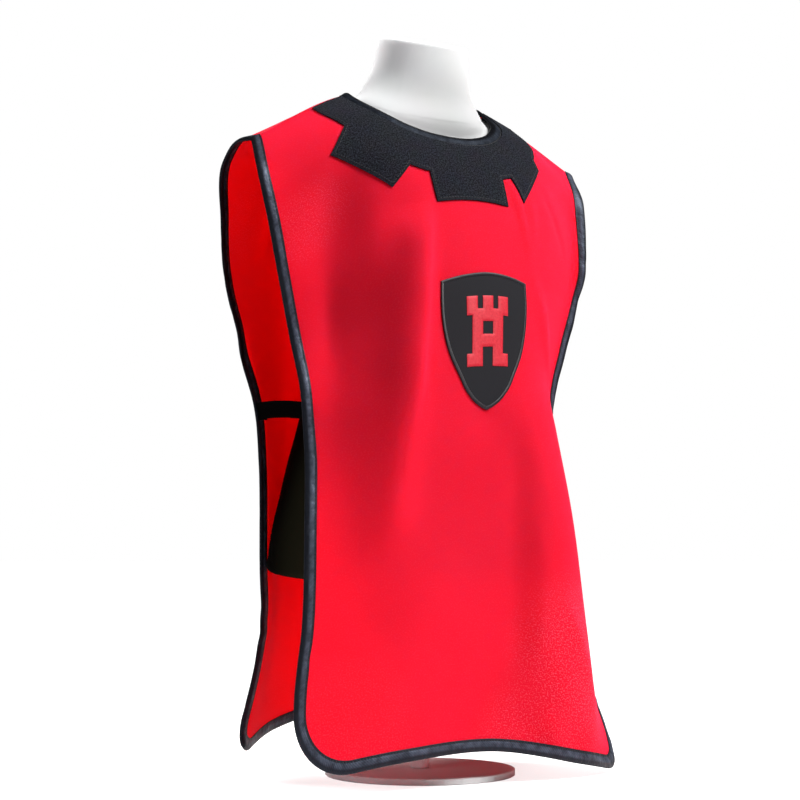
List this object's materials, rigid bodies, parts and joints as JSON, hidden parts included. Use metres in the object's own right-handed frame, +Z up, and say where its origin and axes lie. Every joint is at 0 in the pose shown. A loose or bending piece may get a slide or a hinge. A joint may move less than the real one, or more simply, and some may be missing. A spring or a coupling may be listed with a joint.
{
  "type": "child's knight tabard on a dress form",
  "caption": "Sleeveless red knight tabard with bound edges, crenellated collar, shield patch and elastic waist straps, standing on a limbless dress form",
  "frame": {"origin": "middle of the stand base's underside, on the floor", "axes": "+Z up, the front of the tabard faces -Y, the wearer's right side is at -X"},
  "size_m": [0.4049, 0.2538, 0.7051],
  "materials": {
    "red_cloth": "matte woven polyester with a slight sheen",
    "satin_binding": "black satin bias binding",
    "collar_felt": "matte black felt",
    "shield_cloth": "matte black twill",
    "rim_thread": "black satin stitch",
    "tower_thread": "red embroidery thread with a soft gloss",
    "elastic": "matte black ribbed elastic",
    "pale_form": "smooth pale grey",
    "dark_form": "smooth near-black cover",
    "stand_enamel": "white enamel"
  },
  "bodies": {
    "root": {"front_panel": "red_cloth", "back_panel": "red_cloth", "edge_binding": "satin_binding", "neck_binding": "satin_binding", "collar": "collar_felt", "shield_patch": "shield_cloth", "shield_rim": "rim_thread", "shield_tower": "tower_thread", "strap_right": "elastic", "strap_left": "elastic", "form_neck": "pale_form", "form_torso": "dark_form", "stand_pole": "stand_enamel", "stand_base": "stand_enamel"}
  },
  "joints": []
}
